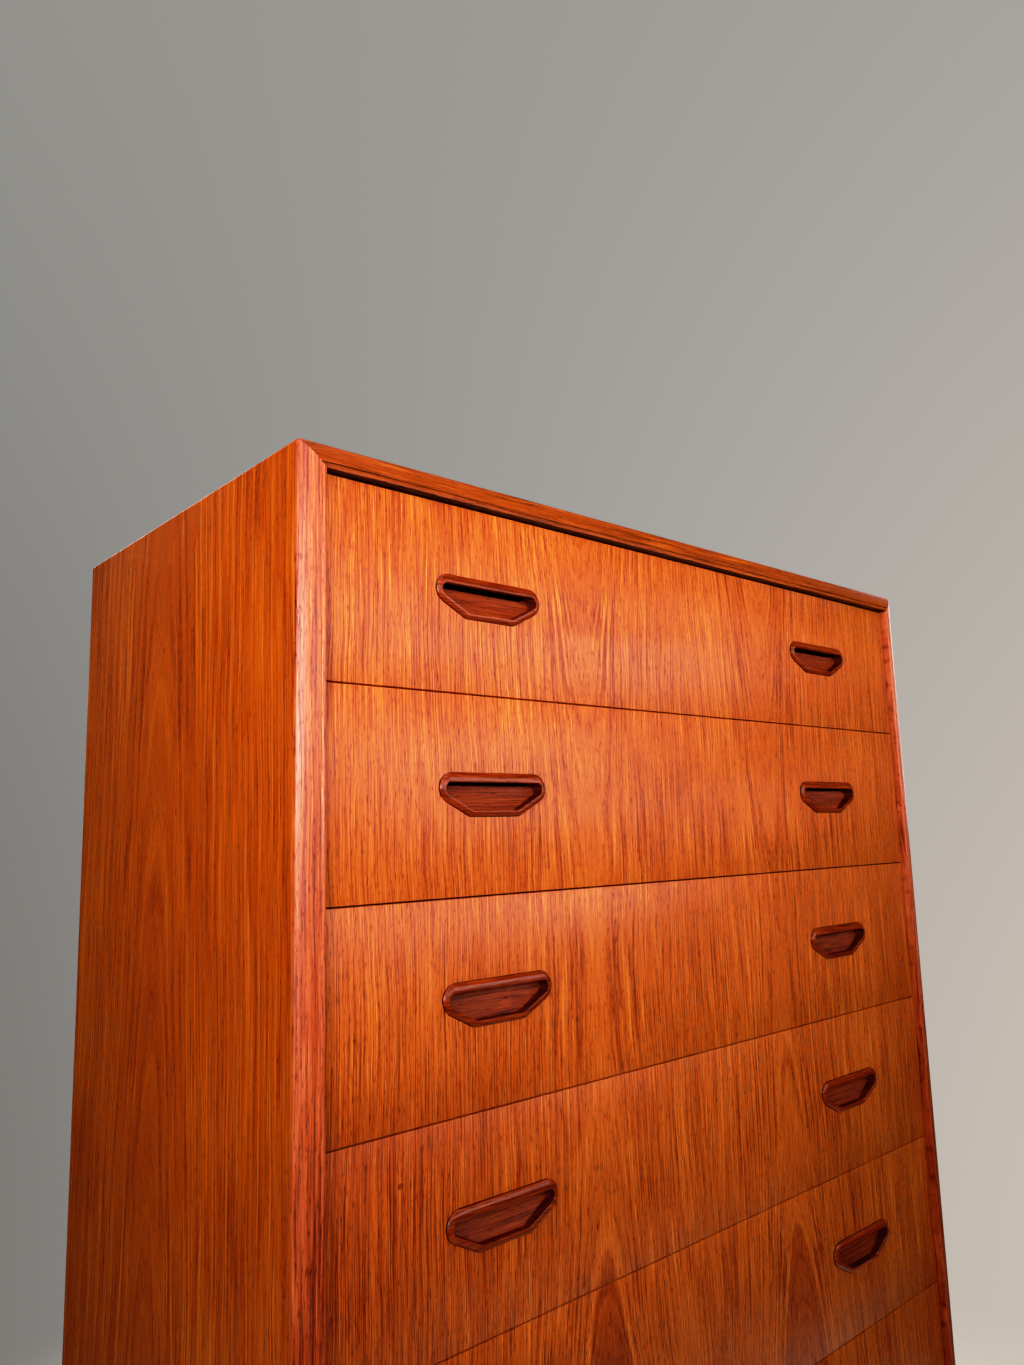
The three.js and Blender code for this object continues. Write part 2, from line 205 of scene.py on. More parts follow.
def leaf_figure(f):
    """Two leaves of crown-cut veneer that run on from each drawer front to the next."""
    leaf = f.math("GREATER_THAN", f.x, 0.0)
    seed = f.scale(leaf, 37.0)
    centre = f.scale(leaf, LEAF_SPACING, LEAF_CENTRE)
    offset = f.math("SUBTRACT", f.x, centre)
    sway = f.noise(f.scale(f.z, 1 / 170), f.scale(f.x, 1 / 140), seed, 2.0)
    offset = f.total(offset, f.scale(sway, 7.0))
    height = f.scale(f.z, 1.0, -CROWN_HEIGHT)
    depth = f.scale(f.math("MULTIPLY", height, height), CROWN_BEND, CROWN_DEPTH)
    depth = f.total(depth, f.y, -FACE)
    ring = f.length(offset, depth)
    feather = f.noise(f.scale(f.x, 1 / 1.6), f.scale(f.z, 1 / 55), seed, 2.0)
    ring = f.total(ring, f.scale(feather, 0.55))
    tip = f.scale(leaf, TIP_SHIFT, TIP_RING)
    inside = f.math("SUBTRACT", tip, ring)
    low = f.step(f.z, *TIP_HEIGHTS)
    dark = f.math("MULTIPLY", f.step(inside, 0.05, 0.5), low)
    pale = f.math("MULTIPLY", f.step(inside, -1.1, -0.2), f.step(inside, 0.45, 0.0))
    pale = f.math("MULTIPLY", pale, low)
    # darker low on the left: partly the wood's own tone, partly painted shade
    stain_and_shade = f.math("MULTIPLY", f.step(f.z, *STAIN_AND_SHADE_HEIGHTS), f.step(f.x, *STAIN_AND_SHADE_REACH))
    mark = f.total(f.scale(dark, -0.26), f.scale(pale, 0.2), f.scale(stain_and_shade, -0.3))
    aside = f.scale(f.x, BRUISE_SQUEEZE, -BRUISE_X * BRUISE_SQUEEZE)
    above = f.scale(f.z, 1.0, -BRUISE_Z)
    away = f.total(f.math("MULTIPLY", aside, aside), f.math("MULTIPLY", above, above))
    mark = f.total(mark, f.scale(f.step(away, *BRUISE_SQUARES), -0.6))
    calm = f.step(f.math("ABSOLUTE", offset), 3.0, 32.0, 0.3, 1.0)
    return ring, f.x, f.z, seed, mark, calm


def panel_figure(f):
    """Crown-cut veneer on the case sides, with its arches near the middle."""
    side = f.math("GREATER_THAN", f.x, 0.0)
    seed = f.scale(side, 23.0, 5.0)
    offset = f.scale(f.y, 1.0, -ARCH_MIDDLE)
    sway = f.noise(f.scale(f.z, 1 / 210), f.scale(f.y, 1 / 150), seed, 2.0)
    offset = f.total(offset, f.scale(sway, 9.0))
    depth = f.scale(f.z, ARCH_SLOPE, ARCH_DEPTH)
    depth = f.total(depth, f.math("ABSOLUTE", f.x), -HALF)
    ring = f.length(offset, depth)
    feather = f.noise(f.scale(f.y, 1 / 1.8), f.scale(f.z, 1 / 50), seed, 2.0)
    ring = f.total(ring, f.scale(feather, 0.6))
    calm = f.step(f.math("ABSOLUTE", offset), 6.0, 46.0, 0.4, 1.0)
    return ring, f.y, f.z, seed, 0.0, calm


def board_figure(across, along, depth, centre, seed):
    """Solid wood: straight rings about a far heart; the axes are attribute names."""

    def figure(f):
        a = f.scale(getattr(f, across), 1.0, -centre[0])
        d = f.scale(getattr(f, depth), 1.0, -centre[1])
        length = getattr(f, along)
        sway = f.noise(f.scale(length, 1 / 130), f.scale(a, 1 / 50), seed, 2.0)
        a = f.total(a, f.scale(sway, 2.5))
        ring = f.length(a, d)
        return ring, a, length, seed, 0.0, 1.0

    return figure


def wood(
    name, figure, stops, band=(11.0, 0.26), line=(1.1, 0.6), gold=0.32, fibre=0.6, pore=0.8,
    gloss=0.38, specular=0.4, relief=0.06, painted_shading=None, level=0.12, run=60.0, dull=None,
):
    """A wood whose colour is looked up in stops by a tone of about -1 to 1.

    band and line are (size in mm, strength) of the broad bands and of the dark growth lines. gold,
    fibre and pore are the strengths of the pale streaks, fine threads and pores, and run is the
    length of a streak. gloss is the roughness, relief the height of the bumps in mm and level a
    constant added to the tone. The painted-shading function darkens the tone as painted shade where
    it is above 0 and lightens it as painted light below it, and dull(f) adds roughness.
    """
    f = Finish(name)
    ring, across, along, seed, mark, calm = figure(f)
    broad = f.noise(f.scale(ring, 1 / band[0]), f.scale(along, 1 / 900), seed, 2.0, 0.6)
    lines = f.noise(f.scale(ring, 1 / line[0]), f.scale(along, 1 / 130), seed, 2.0, 0.6)
    wide = f.noise(f.scale(ring, 0.37 / line[0], 70.0), f.scale(along, 1 / 420), seed, 2.0, 0.5)
    streak = f.noise(f.scale(ring, 1.18 / line[0], 40.0), f.scale(along, 1 / run), seed, 2.0, 0.6)
    threads = f.noise(f.scale(across, 1 / 1.05), f.scale(along, 1 / 48), seed, 2.5, 0.65)
    vessel = f.noise(
        f.scale(across, 1 / 0.8), f.scale(along, 1 / 7), f.scale(ring, 1 / 2.5), 1.5, 0.5
    )
    drift = f.noise(f.scale(across, 1 / 120), f.scale(along, 1 / 300), seed, 2.0)
    golden = f.math("MULTIPLY", f.step(streak, 0.03, 0.28), calm)
    dark = f.math("MULTIPLY", f.step(lines, 0.02, -0.3), calm)
    pores = f.math("MULTIPLY", f.step(vessel, 0.1, 0.4), f.step(lines, 0.3, -0.2, 0.35, 1.0))
    tone = f.total(
        f.scale(broad, band[1], level),
        f.scale(f.math("MULTIPLY", wide, calm), line[1] * 0.6),
        f.scale(dark, -line[1]),
        f.scale(golden, gold),
        f.scale(threads, fibre),
        f.scale(drift, 0.2),
        f.scale(pores, -pore),
        mark,
    )
    # painted shade where the function gives more than 0, painted light where it gives less
    if painted_shading:
        tone = f.total(tone, f.scale(painted_shading(f), -1.2))
    colour = f.ramp(f.scale(tone, 0.5, 0.5), stops)
    f.bump(f.total(f.scale(dark, -0.4), f.scale(threads, 0.4), f.scale(pores, -0.9)), relief)
    rough = f.total(f.scale(dark, 0.04), f.scale(threads, 0.06), f.scale(pores, 0.12))
    rough = f.scale(rough, 1.0, gloss)
    if dull:
        rough = f.total(rough, dull(f))
    return f.done(colour, rough, specular)


def pull_wall_shade(f):
    """The walls of a pull that face up, down or sideways, darkened as painted shade in the recess."""
    return f.step(f.math("ABSOLUTE", f.facing[1]), 0.6, 0.2, 0.0, 0.5)


def pull_dull(f):
    """Hands polish the rim of a pull, not its floor."""
    return f.step(f.y, FACE - 1.2, FACE + 2.0, 0.0, 0.3)


def lipping_inner_shade(f):
    """The faces of the upper and lower lippings that look into the opening, darkened as painted shade."""
    outward = f.math("SIGN", f.scale(f.z, 1.0, -(CASE_LOW + CASE_HIGH) / 2))
    return f.step(f.math("MULTIPLY", f.facing[2], outward), -0.55, -0.85)


def lipping_painted_light(f):
    """Painted light: the upright lippings are paler over most of their height, where the lamps light them,
    and darker low down.
    """
    return f.step(f.z, 540.0, 680.0, 0.0, -0.19)


TEAK_FRONT = [
    (0.08, (0.20, 0.022, 0.003)),
    (0.32, (0.39, 0.066, 0.009)),
    (0.52, (0.56, 0.124, 0.018)),
    (0.70, (0.72, 0.205, 0.032)),
    (0.90, (0.88, 0.330, 0.065)),
]
TEAK_CASE = [
    (0.08, (0.18, 0.015, 0.001)),
    (0.32, (0.37, 0.050, 0.003)),
    (0.52, (0.54, 0.102, 0.006)),
    (0.70, (0.69, 0.172, 0.014)),
    (0.90, (0.84, 0.275, 0.036)),
]
TEAK_SOLID = [
    (0.08, (0.15, 0.018, 0.006)),
    (0.32, (0.32, 0.045, 0.012)),
    (0.52, (0.48, 0.088, 0.022)),
    (0.70, (0.62, 0.145, 0.042)),
    (0.90, (0.76, 0.240, 0.080)),
]
TEAK_WARM = [
    (0.08, (0.012, 0.002, 0.001)),
    (0.28, (0.17, 0.024, 0.002)),
    (0.52, (0.35, 0.066, 0.006)),
    (0.70, (0.48, 0.115, 0.012)),
    (0.90, (0.62, 0.190, 0.026)),
]
TEAK_DARK = [
    (0.05, (0.018, 0.0022, 0.0006)),
    (0.28, (0.105, 0.0100, 0.0008)),
    (0.50, (0.230, 0.0260, 0.0016)),
    (0.70, (0.350, 0.0520, 0.0040)),
    (0.90, (0.450, 0.0900, 0.0120)),
]
# Painted shade: a near-black tone for the grip slot and the pull's sunk outer wall
TEAK_SHADE = [
    (0.10, (0.004, 0.0012, 0.0008)),
    (0.90, (0.020, 0.0040, 0.0016)),
]
BEECH = [
    (0.10, (0.38, 0.22, 0.11)),
    (0.40, (0.56, 0.37, 0.20)),
    (0.60, (0.62, 0.43, 0.25)),
    (0.90, (0.70, 0.52, 0.33)),
]
BIRCH = [
    (0.10, (0.42, 0.27, 0.14)),
    (0.40, (0.58, 0.41, 0.24)),
    (0.60, (0.64, 0.48, 0.30)),
    (0.90, (0.72, 0.57, 0.39)),
]

front_teak = wood(
    "front_teak", leaf_figure, TEAK_FRONT,
    band=(11.0, 0.22), line=(0.95, 0.64), gold=0.36, fibre=0.9, run=110.0, specular=0.45,
)
side_teak = wood(
    "side_teak", panel_figure, TEAK_CASE,
    band=(12.0, 0.26), line=(2.5, 0.4), gold=0.42, fibre=0.7, pore=0.55, gloss=0.44, level=0.06,
    run=300.0,
)
level_teak = wood(
    "level_teak", board_figure("y", "x", "z", (30, 1010), 3.0), TEAK_CASE, band=(12.0, 0.4), gloss=0.42
)
upright_solid = wood(
    "upright_solid", board_figure("x", "z", "y", (0, -120), 11.0), TEAK_SOLID,
    band=(5.0, 0.35), line=(1.2, 0.7), gold=0.3, fibre=0.8, gloss=0.34, specular=0.6,
    # painted light: paler over the upper part of the upright lippings
    relief=0.12, level=0.04, painted_shading=lipping_painted_light,
)
level_solid = wood(
    "level_solid", board_figure("z", "x", "y", (640, -90), 17.0), TEAK_WARM,
    # painted shade on the lipping faces that look into the opening
    band=(5.0, 0.35), line=(1.4, 0.4), gold=0.3, pore=0.5, gloss=0.4, painted_shading=lipping_inner_shade, level=0.0,
)
pull_teak = wood(
    "pull_teak", board_figure("z", "x", "y", (640, -60), 29.0), TEAK_DARK,
    band=(4.0, 0.35), line=(0.9, 0.4), gold=0.3, pore=0.4, gloss=0.28, specular=0.42, run=30.0,
    # painted shade on the walls of the pull's recess
    painted_shading=pull_wall_shade, dull=pull_dull,
)
# painted shade for the slot and the sunk outer wall of each pull
slot_painted_shade = wood(
    "slot_painted_shade", board_figure("z", "x", "y", (640, -60), 29.0), TEAK_SHADE, gloss=0.7, specular=0.1
)
leg_teak = wood(
    "leg_teak", board_figure("x", "z", "y", (10, 40), 31.0), TEAK_SOLID, band=(7.0, 0.35), gloss=0.36
)
rail_teak = wood(
    "rail_teak", board_figure("z", "x", "y", (60, 30), 37.0), TEAK_SOLID, band=(7.0, 0.35), gloss=0.36
)
rail_teak_deep = wood(
    "rail_teak_deep", board_figure("z", "y", "x", (60, 30), 39.0), TEAK_SOLID, band=(7.0, 0.35), gloss=0.36
)
beech_long = wood(
    "beech_long", board_figure("z", "y", "x", (250, 40), 43.0), BEECH,
    band=(16.0, 0.3), line=(3.0, 0.16), gold=0.05, pore=0.2, gloss=0.5,
)
beech_wide = wood(
    "beech_wide", board_figure("z", "x", "y", (250, 40), 47.0), BEECH,
    band=(16.0, 0.3), line=(3.0, 0.16), gold=0.05, pore=0.2, gloss=0.5,
)
ply_deep = wood(
    "ply_deep", board_figure("x", "y", "z", (90, -160), 53.0), BIRCH,
    band=(26.0, 0.35), line=(5.0, 0.15), gold=0.05, pore=0.12, gloss=0.55,
)
ply_upright = wood(
    "ply_upright", board_figure("x", "z", "y", (60, 390), 59.0), BIRCH,
    band=(30.0, 0.4), line=(6.0, 0.18), gold=0.05, pore=0.15, gloss=0.6,
)


def steel():
    f = Finish("screw_steel")
    blotch = f.noise(f.scale(f.x, 1 / 2.0), f.scale(f.y, 1 / 2.0), f.scale(f.z, 1 / 2.0), 3.0)
    scratch = f.noise(f.scale(f.x, 1 / 0.2), f.scale(f.y, 1 / 3.0), f.scale(f.z, 1 / 0.6), 2.0)
    f.shader.inputs["Metallic"].default_value = 1.0
    f.bump(scratch, 0.01)
    greys = [(0.2, (0.32, 0.30, 0.27)), (0.8, (0.56, 0.54, 0.50))]
    colour = f.ramp(f.scale(blotch, 0.5, 0.5), greys)
    return f.done(colour, f.scale(blotch, 0.15, 0.38))


screw_steel = steel()


# ---------------------------------------------------------------- mesh helpers

def finish_mesh(bm, name, sharp=32.0):
    bmesh.ops.remove_doubles(bm, verts=bm.verts, dist=1e-6)
    bmesh.ops.recalc_face_normals(bm, faces=bm.faces)
    for face in bm.faces:
        face.smooth = True
    for edge in bm.edges:
        edge.smooth = len(edge.link_faces) == 2 and edge.calc_face_angle(0.0) < math.radians(sharp)
    mesh = bpy.data.meshes.new(name)
    bm.to_mesh(mesh)
    bm.free()
    return mesh


def show(mesh, name, body, material, stands_for=None):
    piece = bpy.data.objects.new(name, mesh)
    bpy.context.scene.collection.objects.link(piece)
    mesh.materials.clear()
    mesh.materials.append(material)
    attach(piece, body)
    if stands_for:
        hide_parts(stands_for)
    return piece


def loft(bm, rings):
    """Closed skin over rings of equal length, with flat ends. Points are millimetres."""
    loops = [[bm.verts.new(Vector(point) * MM) for point in ring] for ring in rings]
    count = len(loops[0])
    for lower, upper in zip(loops, loops[1:]):
        for index in range(count):
            following = (index + 1) % count
            bm.faces.new((lower[index], lower[following], upper[following], upper[index]))
    bm.faces.new(loops[0])
    bm.faces.new(list(reversed(loops[-1])))


def ease_edges(bm, edges, ease, segments):
    bmesh.ops.bevel(
        bm, geom=edges, offset=ease * MM, segments=segments, profile=0.5, affect="EDGES",
        clamp_overlap=True,
    )


def board(bm, x, y, z, ease=0.6, segments=2):
    """A block with eased edges."""
    made = bmesh.ops.create_cube(bm, size=1.0)["verts"]
    size = Vector((x[1] - x[0], y[1] - y[0], z[1] - z[0])) * MM
    middle = Vector((x[1] + x[0], y[1] + y[0], z[1] + z[0])) * MM / 2
    for vert in made:
        vert.co = Vector(a * b for a, b in zip(vert.co, size)) + middle
    edges = list({edge for vert in made for edge in vert.link_edges})
    ease_edges(bm, edges, ease, segments)


def eased(node, choose, ease=0.5, segments=2):
    """A copy of a CAD board's mesh with its chosen edges rounded."""
    bm = bmesh.new()
    bm.from_mesh(nodes[node].data)
    bmesh.ops.remove_doubles(bm, verts=bm.verts, dist=1e-6)
    bmesh.ops.dissolve_limit(bm, angle_limit=math.radians(1), verts=bm.verts, edges=bm.edges)
    edges = []
    for edge in bm.edges:
        if len(edge.link_faces) == 2 and edge.calc_face_angle(0.0) > math.radians(30):
            if choose(*(vert.co / MM for vert in edge.verts)):
                edges.append(edge)
    ease_edges(bm, edges, ease, segments)
    return finish_mesh(bm, node + "_eased")


def screw(bm, centre, outward, radius=3.4, turn=0.5):
    """A slotted countersunk head; its face lies 0.2 mm proud of the centre point."""
    outward = Vector(outward)
    side = outward.orthogonal().normalized()
    up = outward.cross(side)
    tilt = Matrix.Rotation(turn, 3, outward)
    side, up = tilt @ side, tilt @ up
    half = 0.45
    for sign in (-1, 1):
        start = math.asin(half / radius)
        angles = [start + (math.pi - 2 * start) * step / 14 for step in range(15)]
        rings = []
        for shrink, height in ((1.0, -1.2), (1.0, -0.05), (0.93, 0.2)):
            ring = []
            for angle in angles:
                across = radius * shrink * math.cos(angle)
                along = max(radius * shrink * math.sin(angle), half)
                ring.append(Vector(centre) + side * across + up * along * sign + outward * height)
            rings.append(ring)
        loft(bm, rings)
    floor = [
        Vector(centre) + side * (radius - 0.2) * math.cos(math.tau * step / 20)
        + up * (radius - 0.2) * math.sin(math.tau * step / 20)
        for step in range(20)
    ]
    loft(bm, [[point - outward * 1.2 for point in floor], [point - outward * 0.75 for point in floor]])


# ---------------------------------------------------------------- mitred case

SIDES = {
    "left": ((-HALF, CASE_LOW), (0, 1), (1, 0), CASE_HIGH - CASE_LOW),
    "right": ((HALF, CASE_LOW), (0, 1), (-1, 0), CASE_HIGH - CASE_LOW),
    "top": ((-HALF, CASE_HIGH), (1, 0), (0, -1), 2 * HALF),
    "bottom": ((-HALF, CASE_LOW), (1, 0), (0, 1), 2 * HALF),
}


def mitred(side, profile, corner=CORNER, steps=6):
    """Sweeps a profile of (inward, y) pairs along one side of the case, from mitre to mitre."""
    (start_x, start_z), along, inward, length = SIDES[side]
    bm = bmesh.new()
    rings = []
    stations = [(step, False) for step in range(steps + 1)]
    stations += [(steps - step, True) for step in range(steps + 1)]
    for step, far in stations:
        angle = math.radians(45 + 45 * step / steps)
        ring = []
        for depth, y in profile:
            radius = max(corner - depth, 0.0)
            centre = max(corner, depth)
            run = centre - radius * math.cos(angle) + MITRE_GAP
            cut = centre - radius * math.sin(angle)
            run = length - run if far else run
            x = start_x + along[0] * run + inward[0] * cut
            z = start_z + along[1] * run + inward[1] * cut
            ring.append((x, y, z))
        rings.append(ring)
    loft(bm, rings)
    return bm


def lipping_profile():
    """Outer arris, dome, quirk, bead, inner face and back, as (inward, y)."""
    crest = THICK - BEAD - 0.5
    points = [(0.0, LIP_END), (0.0, FACE + 0.35), (0.12, FACE + 0.02)]
    steps = 22
    for step in range(1, steps + 1):
        inward = crest * step / steps
        across = (THICK - 1.2) - inward
        drop = LIP_RADIUS - math.sqrt(LIP_RADIUS ** 2 - across ** 2)
        points.append((inward, FACE - max(RIDGE - drop, 0.1)))
    top = points[-1][1]
    points.append((crest + 0.22, top + 0.55))
    middle = THICK - BEAD / 2
    for step in range(13):
        angle = math.radians(160 - 160 * step / 12)
        y = LIP_Y[0] + 1.5 - 1.5 * math.sin(angle)
        points.append((middle + BEAD / 2 * math.cos(angle), y))
    points.append((THICK, LIP_END))
    return points


def panel_profile():
    inner = THICK
    front = LIP_END + 0.15
    ease = 0.5
    return [
        (0.0, front + 0.12),
        (0.12, front),
        (inner, front),
        (inner, REAR - REBATE_DEEP),
        (inner - REBATE_WIDE, REAR - REBATE_DEEP),
        (inner - REBATE_WIDE, REAR - 0.2),
        (inner - REBATE_WIDE - 0.2, REAR),
        (ease, REAR),
        (ease * 0.3, REAR - ease * 0.3),
        (0.0, REAR - ease),
    ]


for side in SIDES:
    upright = side in ("left", "right")
    mesh = finish_mesh(mitred(side, lipping_profile()), "lipping_" + side)
    show(
        mesh, "shaped_lipping_" + side, "case",
        upright_solid if upright else level_solid, "lipping_" + side,
    )
    node = ("case_side_" if upright else "case_") + side
    mesh = finish_mesh(mitred(side, panel_profile()), "panel_" + side)
    show(mesh, "shaped_panel_" + side, "case", side_teak if upright else level_teak, node)

back_mesh = eased("back_panel", lambda a, b: True, 0.3, 1)
show(back_mesh, "back_board", "case", ply_upright, "back_panel")

for sign, side in ((-1, "left"), (1, "right")):
    for index in range(1, DRAWERS + 1):
        middle = span(f"drawer_{index}_side_{side}")[2][0] + RUNNER_Z
        reach = sorted((sign * (OPENING - RUNNER_OUT), sign * (OPENING + 0.05)))
        name = f"runner_{side}_{index}"
        bm = bmesh.new()
        board(bm, reach, RUNNER_Y, (middle - RUNNER_HIGH / 2, middle + RUNNER_HIGH / 2), 0.9, 3)
        show(finish_mesh(bm, name), name, "case", beech_long)
        bm = bmesh.new()
        for y in (RUNNER_Y[0] + 30, 15, RUNNER_Y[1] - 30):
            screw(bm, (sign * (OPENING - RUNNER_OUT), y, middle), (-sign, 0, 0), 3.0, 0.4 + y)
        show(finish_mesh(bm, name + "_screws"), name + "_screws", "case", screw_steel)

bm = bmesh.new()
back = span("back_panel")
for x in (-330, -165, 0, 165, 330):
    for z in (back[2][0] + 9, back[2][1] - 9):
        screw(bm, (x, back[1][1], z), (0, 1, 0), 3.6, x * 0.7 + z)
for x in (back[0][0] + 9, back[0][1] - 9):
    for step in range(1, 5):
        z = back[2][0] + 9 + (back[2][1] - back[2][0] - 18) * step / 5
        screw(bm, (x, back[1][1], z), (0, 1, 0), 3.6, x + z)
show(finish_mesh(bm, "back_screws"), "back_screws", "case", screw_steel)


# ---------------------------------------------------------------- inlaid pulls

def pull_outline(shape, grow=0.0):
    """Flat top, rounded upper ends, sloping flanks and a flat foot; pairs (x, z)."""
    sine, cosine = math.sin(PULL_SLOPE), math.cos(PULL_SLOPE)

    def corner(height, radius, start, end, steps):
        across = (shape["reach"] - radius + cosine * height) / sine
        size = radius + grow
        turns = [start + (end - start) * step / steps for step in range(steps + 1)]
        return [(across + size * math.cos(turn), height + size * math.sin(turn)) for turn in turns]

    turn = PULL_SLOPE - math.pi / 2
    right = corner(shape["foot"] - shape["bottom"], shape["foot"], -math.pi / 2, turn, 10)
    right += corner(shape["top"] - shape["end"], shape["end"], turn, math.pi / 2, 26)
    left = [(-x, z) for x, z in reversed(right)]
    return right + left


def floor_depth(z):
    slope = (FLOOR_HIGH - FLOOR_LOW) / (FLOOR_TOP + PULL_INNER["bottom"])
    return FLOOR_LOW + (z + PULL_INNER["bottom"]) * slope


def pull_mesh():
    """The pull about its own middle; its face is at y = 0 and it reaches back to PULL_DEEP."""
    outer, inner = pull_outline(PULL_OUTER), pull_outline(PULL_INNER)

    def between(share, proud):
        return [
            (a[0] + (b[0] - a[0]) * share, -proud, a[1] + (b[1] - a[1]) * share)
            for a, b in zip(outer, inner)
        ]

    rings = [between(0.0, -PULL_DEEP), between(0.0, 0.7), between(0.02, 0.95), between(0.05, 1.2)]
    for step in range(1, 13):
        share = step / 12
        rings.append(between(0.05 + 0.83 * share, 1.2 + 1.8 * (1 - (1 - share) ** 2.6)))
    rings += [between(0.93, 2.94), between(0.975, 2.7), between(1.0, 2.2)]
    for grow, lift in ((0.0, 0.8), (-0.24, 0.24), (-0.8, 0.0)):
        ring = pull_outline(PULL_INNER, grow)
        rings.append([(x, floor_depth(z) - lift, z) for x, z in ring])
    bm = bmesh.new()
    loft(bm, rings)
    return finish_mesh(bm, "pull", 40.0)


def grip_mesh():
    """The undercut behind the upper rim."""
    bm = bmesh.new()
    middle = (FLOOR_TOP + GRIP_TOP) / 2
    radius = (GRIP_TOP - FLOOR_TOP) / 2 - 0.01
    ends = []
    for sign, start in ((1, -90), (-1, 90)):
        for step in range(9):
            angle = math.radians(start + 180 * step / 8)
            across = sign * (GRIP_HALF - radius) + radius * math.cos(angle)
            ends.append((across, middle + radius * math.sin(angle)))
    loft(bm, [[(x, y, z) for x, z in ends] for y in (GRIP_FRONT, GRIP_DEEP)])
    return finish_mesh(bm, "grip")


def cut(mesh, cutter_mesh):
    """mesh minus cutter_mesh, as a new mesh."""
    base = bpy.data.objects.new("cut_base", mesh)
    cutter = bpy.data.objects.new("cut_tool", cutter_mesh)
    for piece in (base, cutter):
        bpy.context.scene.collection.objects.link(piece)
    boolean = base.modifiers.new("cut", "BOOLEAN")
    boolean.operation = "DIFFERENCE"
    boolean.solver = "EXACT"
    boolean.object = cutter
    bpy.context.view_layer.update()
    graph = bpy.context.evaluated_depsgraph_get()
    bm = bmesh.new()
    bm.from_mesh(base.evaluated_get(graph).to_mesh())
    bpy.data.objects.remove(base)
    bpy.data.objects.remove(cutter)
    return bm


pull_shape = finish_mesh(cut(pull_mesh(), grip_mesh()), "pull_shape", 40.0)


def in_shade(face):
    """Faces of the slot above the floor, and of the outer wall in its pocket, which get near-black painted
    shade.
    """
    corners = [pull_shape.vertices[index].co / MM for index in face.vertices]
    if abs(face.normal.y) < 0.05 and max(corner.y for corner in corners) > PULL_DEEP - 0.1:
        return True
    return all(
        abs(x) < GRIP_HALF + 0.05 and y > GRIP_FRONT - 0.05 and FLOOR_TOP - 0.05 < z < GRIP_TOP + 0.05
        for x, y, z in corners
    )


shade_faces = [face.index for face in pull_shape.polygons if in_shade(face)]


# ---------------------------------------------------------------- drawers

def front_edges(a, b):
    """The outer edges of a drawer front, but not those of its pockets and sockets."""
    level = abs(a.z - b.z) < 0.1 and abs(a.y - b.y) < 0.1 and abs(a.x - b.x) > 300
    upright = abs(a.x) > 379 and abs(b.x) > 379 and abs(a.y - FACE) < 0.1 and abs(b.y - FACE) < 0.1
    return level or upright


def long_edges(a, b):
    return (a - b).length > 60


for index in range(1, DRAWERS + 1):
    body = f"drawer_{index}"
    show(
        eased(body + "_front", front_edges, 0.45), body + "_face", body, front_teak,
        body + "_front",
    )
    for side in ("left", "right"):
        node = f"{body}_side_{side}"
        show(eased(node, long_edges, 0.8, 3), node + "_board", body, beech_long, node)
        node = f"{body}_pull_{side}"
        box = span(node)
        mesh = pull_shape.copy()
        centre = Vector(((box[0][0] + box[0][1]) / 2, FACE, (box[2][0] + box[2][1]) / 2)) * MM
        mesh.transform(Matrix.Translation(centre))
        show(mesh, node + "_inlay", body, pull_teak, node)
        # the slot and sunk wall faces get the painted shade finish
        mesh.materials.append(slot_painted_shade)
        for face in shade_faces:
            mesh.polygons[face].material_index = 1
    node = body + "_back"
    show(eased(node, long_edges, 0.8, 3), node + "_board", body, beech_wide, node)
    bottom = nodes[body + "_bottom"]
    bottom.data.materials.clear()
    bottom.data.materials.append(ply_deep)


# ---------------------------------------------------------------- legs and rails

def leg_mesh(node):
    """A turned, tapered leg."""
    x, y, z = span(node)
    centre = ((x[0] + x[1]) / 2, (y[0] + y[1]) / 2)
    thick = (x[1] - x[0]) / 2
    shoulder = z[1] - 58
    profile = [(11.2, 0.0), (12.0, 0.35), (12.5, 1.5)]
    for step in range(1, 13):
        share = step / 12
        profile.append((12.5 + (thick - 12.5) * share ** 0.95, 1.5 + (shoulder - 1.5) * share))
    profile += [(thick, z[1] - 0.5), (thick - 0.5, z[1])]
    rings = []
    for radius, height in profile:
        turns = [math.tau * step / 56 for step in range(56)]
        rings.append([
            (centre[0] + radius * math.cos(turn), centre[1] + radius * math.sin(turn), height)
            for turn in turns
        ])
    bm = bmesh.new()
    loft(bm, rings)
    return finish_mesh(bm, node + "_turned")


for corner in ("front_left", "front_right", "back_left", "back_right"):
    node = "leg_" + corner
    show(leg_mesh(node), node + "_turned", "case", leg_teak, node)
for side in ("front", "back", "left", "right"):
    node = "rail_" + side
    grain = rail_teak if side in ("front", "back") else rail_teak_deep
    show(eased(node, long_edges, 0.8, 3), node + "_board", "case", grain, node)


# ---------------------------------------------------------------- floor, light and camera

FLOOR_SOLID = 600.0   # radius in mm within which the floor is opaque
FLOOR_GONE = 1200.0   # radius in mm from which it is clear


def pale_floor():
    """Pale paint that fades out far from the chest, so that no horizon line shows."""
    f = Finish("pale_floor")
    cloud = f.noise(f.scale(f.x, 1 / 700), f.scale(f.y, 1 / 700), 0.0, 3.0)
    grain = f.noise(f.scale(f.x, 1 / 9), f.scale(f.y, 1 / 9), 0.0, 2.0)
    f.bump(grain, 0.05)
    tone = f.scale(cloud, 0.35, 0.5)
    reach = f.length(f.x, f.y)
    f.put(f.shader.inputs["Alpha"], f.step(reach, FLOOR_SOLID, FLOOR_GONE, 1.0, 0.0))
    greys = [(0.2, (0.60, 0.585, 0.56)), (0.8, (0.66, 0.645, 0.62))]
    return f.done(f.ramp(tone, greys), 0.8, 0.2)


